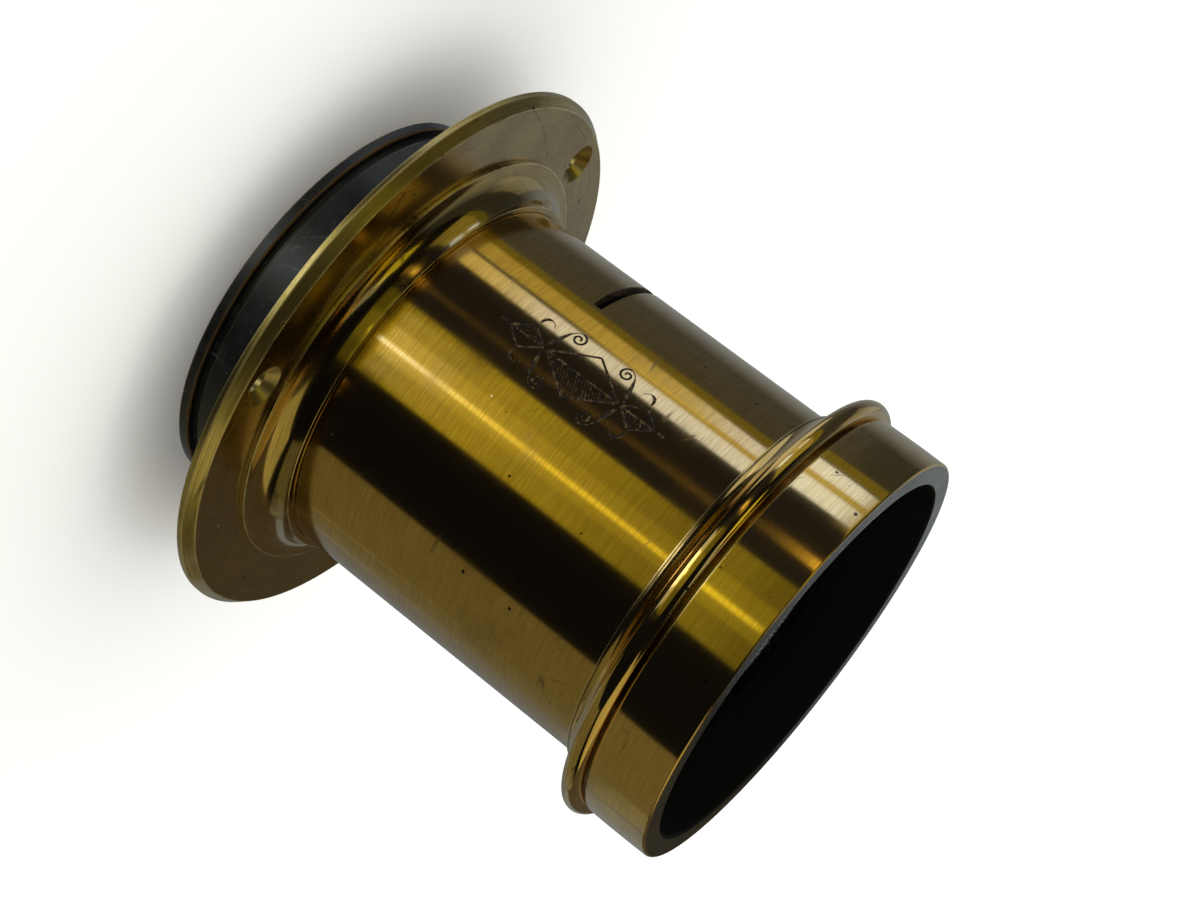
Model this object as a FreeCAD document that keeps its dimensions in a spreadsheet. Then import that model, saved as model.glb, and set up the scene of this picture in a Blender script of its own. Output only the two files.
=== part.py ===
import FreeCAD, Part
import Sketcher
import math
import os

# A brass portrait lens of the slotted-stop kind, standing on the rim of its rear cell.
# +Z runs along the optical axis towards the hood. +Y is the middle of the slot for the stops.
# Every piece is turned about that axis, so each is a half section swept round, then cut.

DRIVING_SIZES = {
    # Drawn brass tube, the barrel
    "tube_radius": 32.75,
    "tube_wall": 1.5,
    "tube_length": 65.0,
    # Slot in the barrel, and the two rings that guide a stop plate across it
    "slot_width": 1.6,
    "slot_span_angle": 156.0,
    "slot_behind_hood": 35.6,
    "cut_margin": 1.0,
    "guide_width": 5.7,
    "guide_thickness": 1.5,
    "guide_spacing": 1.8,
    # Fits
    "running_clearance": 0.08,
    "solder_film": 0.05,
    "glass_clearance": 0.1,
    # Shoulder collar, sweated on the tube behind the slot
    "collar_thread_length": 7.3,
    "collar_thread_wall": 2.52,
    "collar_relief_depth": 0.6,
    "collar_relief_width": 0.8,
    "shoulder_width": 2.2,
    "shoulder_step_height": 0.8,
    "shoulder_quirk": 0.8,
    "shoulder_cove_height": 4.2,
    "shoulder_cove_bend": 4.5,
    "lip_wall": 1.1,
    "lip_height": 0.25,
    # Mounting flange, fixed to the front of a camera
    "flange_back_height": 14.9,
    "flange_thickness": 2.6,
    "flange_edge_land": 0.95,
    "flange_bevel_inset": 1.4,
    "flange_bore_chamfer": 0.3,
    "screw_circle_inset": 4.7,
    "screw_edge_margin": 6.5,
    "screw_hole_radius": 2.1,
    "countersink_radius": 4.0,
    "countersink_angle": 90.0,
    "screw_count": 3,
    "screw_turn_angle": 117.3,
    # Rear cell, blackened, with its gripping rim
    "cell_step": 1.65,
    "cell_thread_length": 5.2,
    "cell_wall": 3.4,
    "cell_chamfer": 0.3,
    "rim_height": 2.0,
    "rim_width": 0.8,
    "rim_chamfer": 0.25,
    "cell_undercut_depth": 0.7,
    "cell_undercut_width": 1.4,
    "cell_lip_height": 2.0,
    "cell_lip_width": 1.8,
    # Rear glasses with their spacer and retaining ring
    "rear_flint_edge": 4.8,
    "rear_flint_front_rise": 2.2,
    "rear_flint_hollow": 4.9,
    "spacer_height": 1.6,
    "rear_crown_edge": 3.0,
    "rear_crown_front_rise": 4.5,
    "rear_crown_back_rise": 2.0,
    "rear_ring_height": 1.6,
    # Notches for a key, opposite each other in each retaining ring
    "ring_notch_width": 3.0,
    "ring_notch_depth": 0.9,
    "ring_notch_count": 2,
    # Hood, turned in one piece with the front cell
    "hood_length": 19.0,
    "hood_spigot_length": 8.0,
    "hood_spigot_wall": 1.9,
    "hood_seat_height": 1.9,
    "hood_seat_width": 2.7,
    "hood_ledge_width": 1.9,
    "hood_wall": 4.13,
    "hood_edge_step": 0.85,
    "hood_edge_land": 0.4,
    "hood_cove_height": 3.0,
    "hood_cove_bend": 4.4,
    "bead_quirk": 0.4,
    "bead_height": 3.2,
    "bead_bend": 1.7,
    "bead_lift": 0.5,
    "groove_depth": 0.7,
    "groove_slope": 0.25,
    "groove_width": 0.4,
    "groove_chamfer": 0.25,
    "hood_front_round": 0.45,
    "hood_bore_chamfer": 0.3,
    # Front glasses and their retaining ring
    "front_flint_edge": 3.8,
    "front_flint_back_rise": 1.6,
    "cement_surface_rise": 3.6,
    "front_crown_edge": 1.4,
    "front_crown_rise": 4.3,
    "front_ring_height": 1.6,
}

FULL_TURN = 360.0
DEGREES_PER_RADIAN = math.degrees(1.0)


class Size:
    """A length with its number and the sheet formula that keeps it current."""

    def __init__(self, number, formula):
        self.number = number
        self.formula = formula

    def __add__(self, other):
        other = as_size(other)
        return Size(self.number + other.number, f"({self.formula} + {other.formula})")

    def __sub__(self, other):
        other = as_size(other)
        return Size(self.number - other.number, f"({self.formula} - {other.formula})")

    def __mul__(self, other):
        other = as_size(other)
        return Size(self.number * other.number, f"({self.formula} * {other.formula})")

    def __truediv__(self, other):
        other = as_size(other)
        return Size(self.number / other.number, f"({self.formula} / {other.formula})")


def as_size(value):
    """Takes a Size as it is and gives a plain number its own formula."""
    if isinstance(value, Size):
        return value
    return Size(float(value), str(value))


def make_sheet(document):
    """Writes the driving sizes into a sheet, one named cell each, and returns them as Sizes."""
    sheet = document.addObject("Spreadsheet::Sheet", "Sizes")
    sizes = {}
    for row, (name, number) in enumerate(DRIVING_SIZES.items(), start=1):
        sheet.set(f"A{row}", name)
        sheet.set(f"B{row}", str(number))
        sheet.setAlias(f"B{row}", name)
        sizes[name] = Size(float(number), f"Sizes.{name}")
    document.recompute()
    return sizes


def new_body(name):
    """A body whose label is the piece's name."""
    body = doc.addObject("PartDesign::Body", name)
    body.Label = name
    body.Placement = FreeCAD.Placement()
    return body


def new_sketch(body, name, plane_role):
    """A sketch on one of the body's own origin planes."""
    planes = {feature.Role: feature for feature in body.Origin.OriginFeatures}
    sketch = body.newObject("Sketcher::SketchObject", name)
    sketch.AttachmentSupport = [(planes[plane_role], "")]
    sketch.MapMode = "FlatFace"
    return sketch


def bind(sketch, kind, place, size, name):
    """Adds a named dimension to a sketch and ties it to the sheet."""
    index = sketch.addConstraint(Sketcher.Constraint(kind, *place, size.number))
    sketch.renameConstraint(index, name)
    sketch.setExpression(f"Constraints.{name}", size.formula)


def straight(radius, height):
    """A corner reached along a straight edge."""
    return {"radius": radius, "height": height, "bend": None, "turn": 0}


def curved(radius, height, bend, turn):
    """A corner reached along an arc; turn is 1 where the path bends left and -1 where right."""
    return {"radius": radius, "height": height, "bend": bend, "turn": turn}


def flat_point(corner):
    """A corner's present place in the sketch plane."""
    return FreeCAD.Vector(as_size(corner["radius"]).number, as_size(corner["height"]).number, 0)


def arc_between(start, end, bend, turn):
    """The shorter arc of the given radius from start to end."""
    chord = end - start
    to_left = FreeCAD.Vector(-chord.y, chord.x, 0).normalize()
    rise = math.sqrt(max(bend ** 2 - (chord.Length / 2) ** 2, 0.0))
    centre = (start + end) / 2 + to_left * (turn * rise)
    first = end if turn < 0 else start
    last = start if turn < 0 else end
    first_angle = math.atan2(first.y - centre.y, first.x - centre.x)
    last_angle = math.atan2(last.y - centre.y, last.x - centre.x)
    if last_angle < first_angle:
        last_angle += 2 * math.pi
    circle = Part.Circle(centre, FreeCAD.Vector(0, 0, 1), bend)
    return Part.ArcOfCircle(circle, first_angle, last_angle)


def draw_section(sketch, corners):
    """Draws a closed half section; every corner and every bend is tied to the sheet."""
    horizontal_axis, vertical_axis = -1, -2
    ends = []
    for index, corner in enumerate(corners):
        start = flat_point(corners[index - 1])
        end = flat_point(corner)
        if corner["bend"] is None:
            edge = sketch.addGeometry(Part.LineSegment(start, end))
            ends.append((edge, 1, 2))
        else:
            bend = as_size(corner["bend"])
            edge = sketch.addGeometry(arc_between(start, end, bend.number, corner["turn"]))
            ends.append((edge, 1, 2) if corner["turn"] > 0 else (edge, 2, 1))
            bind(sketch, "Radius", (edge,), bend, f"bend_{index}")
    for index, corner in enumerate(corners):
        edge, _, edge_end = ends[index]
        following, following_start, _ = ends[(index + 1) % len(ends)]
        join = Sketcher.Constraint("Coincident", edge, edge_end, following, following_start)
        sketch.addConstraint(join)
        radius = as_size(corner["radius"])
        height = as_size(corner["height"])
        if radius.number == 0:
            on_axis = Sketcher.Constraint("PointOnObject", edge, edge_end, vertical_axis)
            sketch.addConstraint(on_axis)
        else:
            bind(sketch, "DistanceX", (edge, edge_end), radius, f"radius_{index}")
        if height.number == 0:
            on_floor = Sketcher.Constraint("PointOnObject", edge, edge_end, horizontal_axis)
            sketch.addConstraint(on_floor)
        else:
            bind(sketch, "DistanceY", (edge, edge_end), height, f"height_{index}")


def draw_circle(sketch, distance, radius):
    """Draws a circle on the sketch's horizontal axis, tied to the sheet."""
    horizontal_axis, centre_point = -1, 3
    centre = FreeCAD.Vector(distance.number, 0, 0)
    circle = sketch.addGeometry(Part.Circle(centre, FreeCAD.Vector(0, 0, 1), radius.number))
    on_axis = Sketcher.Constraint("PointOnObject", circle, centre_point, horizontal_axis)
    sketch.addConstraint(on_axis)
    bind(sketch, "DistanceX", (circle, centre_point), distance, "circle_distance")
    bind(sketch, "Radius", (circle,), radius, "circle_radius")


def turned(name, corners):
    """A body turned from its half section."""
    body = new_body(name)
    section = new_sketch(body, f"{name}_section", "XZ_Plane")
    draw_section(section, corners)
    turning = body.newObject("PartDesign::Revolution", f"{name}_turning")
    turning.Profile = section
    turning.ReferenceAxis = (section, ["V_Axis"])
    turning.Angle = FULL_TURN
    section.Visibility = False
    doc.recompute()
    return body


def dome_bend(half_width, rise):
    """The radius of a spherical surface from its half width and its rise."""
    return (half_width * half_width + rise * rise) / (rise * 2)


def rectangle(sketch, low_x, low_y, high_x, high_y):
    """Draws a rectangle tied to the sheet."""
    draw_section(sketch, [
        straight(low_x, low_y),
        straight(high_x, low_y),
        straight(high_x, high_y),
        straight(low_x, high_y),
    ])


doc = FreeCAD.newDocument("BrassLens")
s = make_sheet(doc)

# Radii, each from the piece that it fits
tube_outer = s["tube_radius"]
tube_inner = tube_outer - s["tube_wall"]
cell_outer = tube_outer + s["cell_step"]
cell_inner = cell_outer - s["cell_wall"]
cell_lip_inner = cell_inner - s["cell_lip_width"]
rear_glass_outer = cell_inner - s["glass_clearance"]
rim_outer = cell_outer + s["rim_width"]
collar_counterbore = cell_outer + s["running_clearance"]
collar_bore = tube_outer + s["solder_film"]
collar_thread = collar_counterbore + s["collar_thread_wall"]
shoulder_outer = collar_thread + s["shoulder_width"]
lip_outer = collar_bore + s["lip_wall"]
flange_bore = collar_thread + s["running_clearance"]
screw_circle = shoulder_outer + s["screw_circle_inset"]
flange_outer = screw_circle + s["screw_edge_margin"]
guide_outer = tube_inner - s["solder_film"]
guide_inner = guide_outer - s["guide_width"]
spigot_outer = tube_inner - s["running_clearance"]
spigot_inner = spigot_outer - s["hood_spigot_wall"]
front_cell_inner = spigot_inner + s["hood_seat_width"]
front_glass_outer = front_cell_inner - s["glass_clearance"]
hood_bore = front_cell_inner + s["hood_ledge_width"]
hood_outer = hood_bore + s["hood_wall"]
hood_edge = tube_outer + s["hood_edge_step"]

# Heights above the face that the lens stands on
flange_back = s["flange_back_height"]
flange_front = flange_back + s["flange_thickness"]
collar_rear = flange_front - s["collar_thread_length"]
tube_rear = collar_rear + s["cell_thread_length"]
tube_front = tube_rear + s["tube_length"]
slot_height = tube_front - s["slot_behind_hood"]
hood_front = tube_front + s["hood_length"]
front_seat = tube_front + s["hood_seat_height"]
rear_seat = tube_rear - s["cell_lip_height"]

# Barrel: a plain tube, open on one side at the slot
barrel_tube = turned("barrel_tube", [
    straight(tube_inner, tube_rear),
    straight(tube_outer, tube_rear),
    straight(tube_outer, tube_front),
    straight(tube_inner, tube_front),
])
slot_section = new_sketch(barrel_tube, "slot_section", "YZ_Plane")
rectangle(
    slot_section,
    tube_inner - s["cut_margin"],
    slot_height - s["slot_width"] / 2,
    tube_outer + s["cut_margin"],
    slot_height + s["slot_width"] / 2,
)
slot_cut = barrel_tube.newObject("PartDesign::Groove", "slot_cut")
slot_cut.Profile = slot_section
slot_cut.ReferenceAxis = (slot_section, ["V_Axis"])
slot_cut.Midplane = True
slot_cut.setExpression("Angle", s["slot_span_angle"].formula)
slot_section.Visibility = False
doc.recompute()


def stop_guide(name, low_height):
    """A flat ring inside the barrel that a stop plate slides along."""
    high_height = low_height + s["guide_thickness"]
    return turned(name, [
        straight(guide_inner, low_height),
        straight(guide_outer, low_height),
        straight(guide_outer, high_height),
        straight(guide_inner, high_height),
    ])


half_spacing = s["guide_spacing"] / 2
stop_guide_front = stop_guide("stop_guide_front", slot_height + half_spacing)
stop_guide_rear = stop_guide("stop_guide_rear", slot_height - half_spacing - s["guide_thickness"])

# Shoulder collar: thread for the flange outside, thread for the rear cell inside
step_top = flange_front + s["shoulder_step_height"]
cove_outer = shoulder_outer - s["shoulder_quirk"]
cove_top = step_top + s["shoulder_cove_height"]
lip_top = cove_top + s["lip_height"]
relief_radius = collar_thread - s["collar_relief_depth"]
relief_rear = flange_front - s["collar_relief_width"]
shoulder_collar = turned("shoulder_collar", [
    straight(collar_counterbore, collar_rear),
    straight(collar_thread, collar_rear),
    straight(collar_thread, relief_rear),
    straight(relief_radius, relief_rear),
    straight(relief_radius, flange_front),
    straight(shoulder_outer, flange_front),
    straight(shoulder_outer, step_top),
    straight(cove_outer, step_top),
    curved(lip_outer, cove_top, s["shoulder_cove_bend"], -1),
    straight(lip_outer, lip_top),
    straight(collar_bore, lip_top),
    straight(collar_bore, tube_rear),
    straight(collar_counterbore, tube_rear),
])

# Mounting flange: a flat ring with a bevelled edge and three countersunk screw holes
flange_face_outer = flange_outer - s["flange_bevel_inset"]
edge_top = flange_back + s["flange_edge_land"]
bore_chamfer = s["flange_bore_chamfer"]
mounting_flange = turned("mounting_flange", [
    straight(flange_bore, flange_back + bore_chamfer),
    straight(flange_bore + bore_chamfer, flange_back),
    straight(flange_outer, flange_back),
    straight(flange_outer, edge_top),
    straight(flange_face_outer, flange_front),
    straight(flange_bore, flange_front),
])
hole_centre = new_sketch(mounting_flange, "screw_hole_centre", "XY_Plane")
hole_centre.setExpression("AttachmentOffset.Base.z", flange_front.formula)
draw_circle(hole_centre, screw_circle, s["screw_hole_radius"])
hole_centre.setExpression("AttachmentOffset.Rotation.Angle", s["screw_turn_angle"].formula)
doc.recompute()
screw_hole = mounting_flange.newObject("PartDesign::Hole", "screw_hole")
screw_hole.Profile = hole_centre
doc.recompute()
screw_hole.DepthType = "ThroughAll"
screw_hole.HoleCutType = "Countersink"
screw_hole.setExpression("Diameter", (s["screw_hole_radius"] * 2).formula)
screw_hole.setExpression("HoleCutDiameter", (s["countersink_radius"] * 2).formula)
screw_hole.setExpression("HoleCutCountersinkAngle", s["countersink_angle"].formula)
hole_centre.Visibility = False
doc.recompute()
screw_pattern = mounting_flange.newObject("PartDesign::PolarPattern", "screw_pattern")
screw_pattern.Originals = [screw_hole]
screw_pattern.Axis = (hole_centre, ["N_Axis"])
screw_pattern.Angle = FULL_TURN
screw_pattern.setExpression("Occurrences", s["screw_count"].formula)
mounting_flange.Tip = screw_pattern
doc.recompute()

# Rear cell: a gripping rim, a plain blackened body and a thread that enters the collar
undercut_radius = cell_outer - s["cell_undercut_depth"]
undercut_top = s["rim_height"] + s["cell_undercut_width"]
rim_chamfer = s["rim_chamfer"]
cell_chamfer = s["cell_chamfer"]
rear_cell = turned("rear_cell", [
    straight(cell_inner + cell_chamfer, 0),
    straight(rim_outer - rim_chamfer, 0),
    straight(rim_outer, rim_chamfer),
    straight(rim_outer, s["rim_height"] - rim_chamfer),
    straight(rim_outer - rim_chamfer, s["rim_height"]),
    straight(undercut_radius, s["rim_height"]),
    straight(undercut_radius, undercut_top),
    straight(cell_outer, undercut_top),
    straight(cell_outer, tube_rear - cell_chamfer),
    straight(cell_outer - cell_chamfer, tube_rear),
    straight(cell_lip_inner, tube_rear),
    straight(cell_lip_inner, rear_seat),
    straight(cell_inner, rear_seat),
    straight(cell_inner, cell_chamfer),
])

# Rear glasses: a hollow flint in front, then the spacer, then a crown
flint_low = rear_seat - s["rear_flint_edge"]
spacer_low = flint_low - s["spacer_height"]
crown_low = spacer_low - s["rear_crown_edge"]
ring_low = crown_low - s["rear_ring_height"]
rear_flint_lens = turned("rear_flint_lens", [
    straight(0, flint_low + s["rear_flint_hollow"]),
    curved(cell_lip_inner, flint_low, dome_bend(cell_lip_inner, s["rear_flint_hollow"]), -1),
    straight(rear_glass_outer, flint_low),
    straight(rear_glass_outer, rear_seat),
    straight(cell_lip_inner, rear_seat),
    curved(0, rear_seat + s["rear_flint_front_rise"],
           dome_bend(cell_lip_inner, s["rear_flint_front_rise"]), 1),
])
rear_spacer_ring = turned("rear_spacer_ring", [
    straight(cell_lip_inner, spacer_low),
    straight(rear_glass_outer, spacer_low),
    straight(rear_glass_outer, flint_low),
    straight(cell_lip_inner, flint_low),
])
rear_crown_lens = turned("rear_crown_lens", [
    straight(0, crown_low - s["rear_crown_back_rise"]),
    curved(cell_lip_inner, crown_low, dome_bend(cell_lip_inner, s["rear_crown_back_rise"]), 1),
    straight(rear_glass_outer, crown_low),
    straight(rear_glass_outer, spacer_low),
    straight(cell_lip_inner, spacer_low),
    curved(0, spacer_low + s["rear_crown_front_rise"],
           dome_bend(cell_lip_inner, s["rear_crown_front_rise"]), 1),
])


def retaining_ring(name, inner, outer, low_height, high_height, notch_face):
    """A threaded ring that holds the glasses, with two notches for a key on its open face."""
    ring = turned(name, [
        straight(inner, low_height),
        straight(outer, low_height),
        straight(outer, high_height),
        straight(inner, high_height),
    ])
    notch_section = new_sketch(ring, f"{name}_notch_section", "XZ_Plane")
    notch_low = low_height
    notch_high = low_height + s["ring_notch_depth"]
    if notch_face == "high":
        notch_low = high_height - s["ring_notch_depth"]
        notch_high = high_height
    rectangle(notch_section, inner - s["cut_margin"], notch_low,
              outer + s["cut_margin"], notch_high)
    notch = ring.newObject("PartDesign::Groove", f"{name}_notch")
    notch.Profile = notch_section
    notch.ReferenceAxis = (notch_section, ["V_Axis"])
    notch.Midplane = True
    notch_angle = s["ring_notch_width"] / outer * DEGREES_PER_RADIAN
    notch.setExpression("Angle", notch_angle.formula)
    doc.recompute()
    notch_pair = ring.newObject("PartDesign::PolarPattern", f"{name}_notch_pair")
    notch_pair.Originals = [notch]
    notch_pair.Axis = (notch_section, ["V_Axis"])
    notch_pair.Angle = FULL_TURN
    notch_pair.setExpression("Occurrences", s["ring_notch_count"].formula)
    ring.Tip = notch_pair
    notch_section.Visibility = False
    doc.recompute()
    return ring


rear_retaining_ring = retaining_ring(
    "rear_retaining_ring", cell_lip_inner, rear_glass_outer, ring_low, crown_low, "low")

# Hood and front cell in one: cove, bead and groove outside, glass seat and spigot inside
land_top = tube_front + s["hood_edge_land"]
bead_low = land_top + s["hood_cove_height"]
bead_high = bead_low + s["bead_height"]
bead_root = hood_outer + s["bead_quirk"]
groove_floor = hood_outer - s["groove_depth"]
groove_low = bead_high + s["groove_slope"]
groove_high = groove_low + s["groove_width"]
spigot_rear = tube_front - s["hood_spigot_length"]
front_round = s["hood_front_round"]
groove_chamfer = s["groove_chamfer"]
crown_top = front_seat + s["front_flint_edge"] + s["front_crown_edge"]
ledge_height = crown_top + s["front_ring_height"]
hood = turned("hood", [
    straight(spigot_inner, spigot_rear),
    straight(spigot_outer, spigot_rear),
    straight(spigot_outer, tube_front),
    straight(hood_edge, tube_front),
    straight(hood_edge, land_top),
    curved(hood_outer, bead_low, s["hood_cove_bend"], -1),
    straight(bead_root, bead_low),
    curved(bead_root + s["bead_lift"], bead_high, s["bead_bend"], 1),
    straight(groove_floor, groove_low),
    straight(groove_floor, groove_high),
    straight(hood_outer - groove_chamfer, groove_high),
    straight(hood_outer, groove_high + groove_chamfer),
    straight(hood_outer, hood_front - front_round),
    curved(hood_outer - front_round, hood_front, front_round, 1),
    straight(hood_bore + s["hood_bore_chamfer"], hood_front),
    straight(hood_bore, hood_front - s["hood_bore_chamfer"]),
    straight(hood_bore, ledge_height),
    straight(front_cell_inner, ledge_height),
    straight(front_cell_inner, front_seat),
    straight(spigot_inner, front_seat),
])

# Front glasses: a crown cemented to a flint
cement_edge = front_seat + s["front_flint_edge"]
front_flint_lens = turned("front_flint_lens", [
    straight(0, front_seat - s["front_flint_back_rise"]),
    curved(spigot_inner, front_seat, dome_bend(spigot_inner, s["front_flint_back_rise"]), 1),
    straight(front_glass_outer, front_seat),
    straight(front_glass_outer, cement_edge),
    curved(0, cement_edge - s["cement_surface_rise"],
           dome_bend(front_glass_outer, s["cement_surface_rise"]), -1),
])
front_crown_lens = turned("front_crown_lens", [
    straight(0, cement_edge - s["cement_surface_rise"]),
    curved(front_glass_outer, cement_edge,
           dome_bend(front_glass_outer, s["cement_surface_rise"]), 1),
    straight(front_glass_outer, crown_top),
    straight(spigot_inner, crown_top),
    curved(0, crown_top + s["front_crown_rise"],
           dome_bend(spigot_inner, s["front_crown_rise"]), 1),
])
front_retaining_ring = retaining_ring(
    "front_retaining_ring", spigot_inner, front_glass_outer, crown_top, ledge_height, "high")

PIECES = [
    mounting_flange,
    shoulder_collar,
    barrel_tube,
    stop_guide_front,
    stop_guide_rear,
    hood,
    front_crown_lens,
    front_flint_lens,
    front_retaining_ring,
    rear_cell,
    rear_flint_lens,
    rear_spacer_ring,
    rear_crown_lens,
    rear_retaining_ring,
]

doc.recompute()
for item in doc.Objects:
    if "Invalid" in item.State or "Error" in item.State:
        raise RuntimeError(f"{item.Label} did not build: {item.State}")
for piece in PIECES:
    if piece.Shape.isNull() or not piece.Shape.isValid():
        raise RuntimeError(f"{piece.Label} has no valid shape")
    if len(piece.Shape.Solids) != 1:
        raise RuntimeError(f"{piece.Label} is not one solid")

os.makedirs("parts", exist_ok=True)
for piece in PIECES:
    piece.Shape.exportStep(os.path.join("parts", f"{piece.Label}.step"))
    box = piece.Shape.optimalBoundingBox()
    print(f"{piece.Label}: {box.XLength:.2f} x {box.YLength:.2f} x {box.ZLength:.2f},"
          f" z {box.ZMin:.2f} to {box.ZMax:.2f}, volume {piece.Shape.Volume:.0f}")
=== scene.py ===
from collections import namedtuple
from math import atan2, ceil, copysign, cos, degrees as to_degrees, hypot, inf, pi, radians, sin, sqrt, tan

import bmesh
import bpy
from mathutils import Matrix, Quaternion, Vector


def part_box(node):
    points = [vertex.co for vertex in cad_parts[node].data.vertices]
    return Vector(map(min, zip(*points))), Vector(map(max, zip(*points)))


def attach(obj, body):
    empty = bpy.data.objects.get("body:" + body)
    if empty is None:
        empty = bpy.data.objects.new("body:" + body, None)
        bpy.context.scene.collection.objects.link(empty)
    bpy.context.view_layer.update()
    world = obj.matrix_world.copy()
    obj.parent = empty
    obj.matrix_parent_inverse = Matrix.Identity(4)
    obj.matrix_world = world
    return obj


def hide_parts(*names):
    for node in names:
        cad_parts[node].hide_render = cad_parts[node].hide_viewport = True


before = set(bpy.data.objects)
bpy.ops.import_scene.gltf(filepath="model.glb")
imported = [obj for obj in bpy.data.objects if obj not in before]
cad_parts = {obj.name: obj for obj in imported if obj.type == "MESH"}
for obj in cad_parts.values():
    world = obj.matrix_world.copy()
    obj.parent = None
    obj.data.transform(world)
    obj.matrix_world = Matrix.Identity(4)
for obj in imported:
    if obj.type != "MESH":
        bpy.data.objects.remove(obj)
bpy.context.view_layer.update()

MM = 0.001


def placed(name, data):
    """A new object in the scene with this mesh, camera or light."""
    piece = bpy.data.objects.new(name, data)
    bpy.context.scene.collection.objects.link(piece)
    return piece


# sizes, from the frame
def reach_of(node):
    """The radius, the bottom and the top of a node."""
    low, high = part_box(node)
    return (high.x - low.x) / 2, low.z, high.z


tube_radius, tube_rear, tube_front = reach_of("barrel_tube")
flange_radius, flange_back, flange_front = reach_of("mounting_flange")
shoulder_radius, collar_rear, lip_top = reach_of("shoulder_collar")
_, hood_rear, hood_front = reach_of("hood")
rim_radius, _, cell_front = reach_of("rear_cell")

tube_wall = 1.5 * MM
thread_pitch = 25.4 / 24 * MM
thread_depth = 0.42 * MM
running_clearance = 0.08 * MM

# Slot for the stops
slot_width = 1.6 * MM
slot_height = 44.8 * MM
slot_middle = 90.0
slot_span = 156.0

# Flange
screw_circle = 43.9 * MM
screw_hole_radius = 2.1 * MM
countersink_radius = 3.7 * MM
screw_angles = (117.3, 237.3, 357.3)
flange_edge_land = 0.95 * MM
flange_bevel_inset = 1.4 * MM
flange_bore_chamfer = 0.3 * MM

# Shoulder collar
shoulder_width = 2.2 * MM
collar_thread = shoulder_radius - shoulder_width
collar_counterbore = collar_thread - 2.52 * MM
collar_bore = tube_radius + 0.05 * MM
collar_relief_depth = 0.6 * MM
collar_relief_width = 0.8 * MM
shoulder_step = 0.8 * MM
shoulder_quirk = 0.8 * MM
cove_bend = 4.5 * MM
lip_wall = 1.1 * MM
lip_height = 0.25 * MM

# Hood
hood_radius = 38 * MM
hood_wall = 4.13 * MM
hood_bore = hood_radius - hood_wall
hood_ledge = 1.9 * MM
spigot_radius = tube_radius - tube_wall - running_clearance
spigot_bore = spigot_radius - 1.9 * MM
front_cell_bore = hood_bore - hood_ledge
front_seat = tube_front + 1.9 * MM
front_crown_base = front_seat + 5.2 * MM
front_ledge = front_crown_base + 1.6 * MM
hood_edge_step = 0.85 * MM
hood_edge_land = 0.4 * MM
hood_cove_height = 3 * MM
hood_cove_bend = 4.4 * MM
bead_quirk = 0.4 * MM
bead_height = 3.2 * MM
bead_bend = 1.7 * MM
bead_lift = 0.5 * MM
groove_depth = 0.7 * MM
groove_slope = 0.25 * MM
groove_width = 0.4 * MM
groove_chamfer = 0.25 * MM
hood_front_round = 0.45 * MM
hood_belly = 250 * MM
hood_bore_chamfer = 0.3 * MM

# Rear cell
cell_radius = rim_radius - 0.8 * MM
cell_bore = cell_radius - 3.4 * MM
cell_lip_bore = cell_bore - 1.8 * MM
cell_lip_height = 2 * MM
rim_height = 2 * MM
rim_chamfer = 0.25 * MM
cell_chamfer = 0.3 * MM
undercut_depth = 0.7 * MM
undercut_width = 1.4 * MM

# How the edges are softened
fine_edge = 0.05 * MM
soft_edge = 0.09 * MM
round_edge = 0.1 * MM
broad_edge = 0.12 * MM
worn_edge = 0.14 * MM
mark_reach = 0.3 * MM
arc_step = radians(6)
around = 360
rows_per_turn = 10
ON_AXIS = 1e-9
SAME_PLACE = 1e-7
ROUNDING = 1e-6


# turned pieces
# a corner of a half section is reached straight, or along an arc when it has a bend
Corner = namedtuple("Corner", "radius height soft finish bend turn", defaults=(soft_edge, 0, 0.0, 0))
Step = namedtuple("Step", "place direction mark finish")


def alike(soft, *places, finish=0):
    """Straight corners that share their softness and finish."""
    return [Corner(*place, soft, finish) for place in places]


def arc_places(start, end, bend, turn):
    """Places along the shorter arc from start to end, both included."""
    chord = end - start
    to_left = Vector((-chord.y, chord.x)).normalized()
    rise = sqrt(max(bend ** 2 - (chord.length / 2) ** 2, 0.0))
    centre = (start + end) / 2 + to_left * (turn * rise)
    first = atan2(start.y - centre.y, start.x - centre.x)
    last = atan2(end.y - centre.y, end.x - centre.x)
    sweep = (last - first + pi) % (2 * pi) - pi
    steps = max(3, ceil(abs(sweep) / arc_step))
    shares = [i / steps for i in range(steps + 1)]
    length = abs(sweep) * bend
    if length / steps > 2 * mark_reach:
        near = mark_reach / length
        shares = [0.0, near] + shares[1:-1] + [1 - near, 1.0]
    return [centre + Vector((cos(first + sweep * s), sin(first + sweep * s))) * bend for s in shares]


def straight_places(start, end):
    """Both ends, with a place near each so that wear and the darkening of the creases stay at the corners."""
    along = end - start
    if along.length < 3 * mark_reach:
        return [start, end]
    near = along.normalized() * mark_reach
    return [start, start + near, end - near, end]


def corner_mark(arriving, leaving):
    """1 at an outer edge, -1 in a crease and 0 where the outline runs on smoothly."""
    least = 0.3  # sine of the smallest turn that counts as a corner
    turning = arriving.normalized().cross(leaving.normalized())
    return 0.0 if abs(turning) < least else copysign(1.0, turning)


def soften(before, place, after, soft):
    """Three places that round a corner off, with their directions."""
    most = 0.42  # share of either side that may be cut away
    cut_back = min(soft, most * (place - before).length, most * (after - place).length)
    arriving, leaving = (place - before).normalized(), (after - place).normalized()
    start, end = place - arriving * cut_back, place + leaving * cut_back
    middle = (start + 2 * place + end) / 4
    return (start, arriving), (middle, (arriving + leaving).normalized()), (end, leaving)


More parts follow.
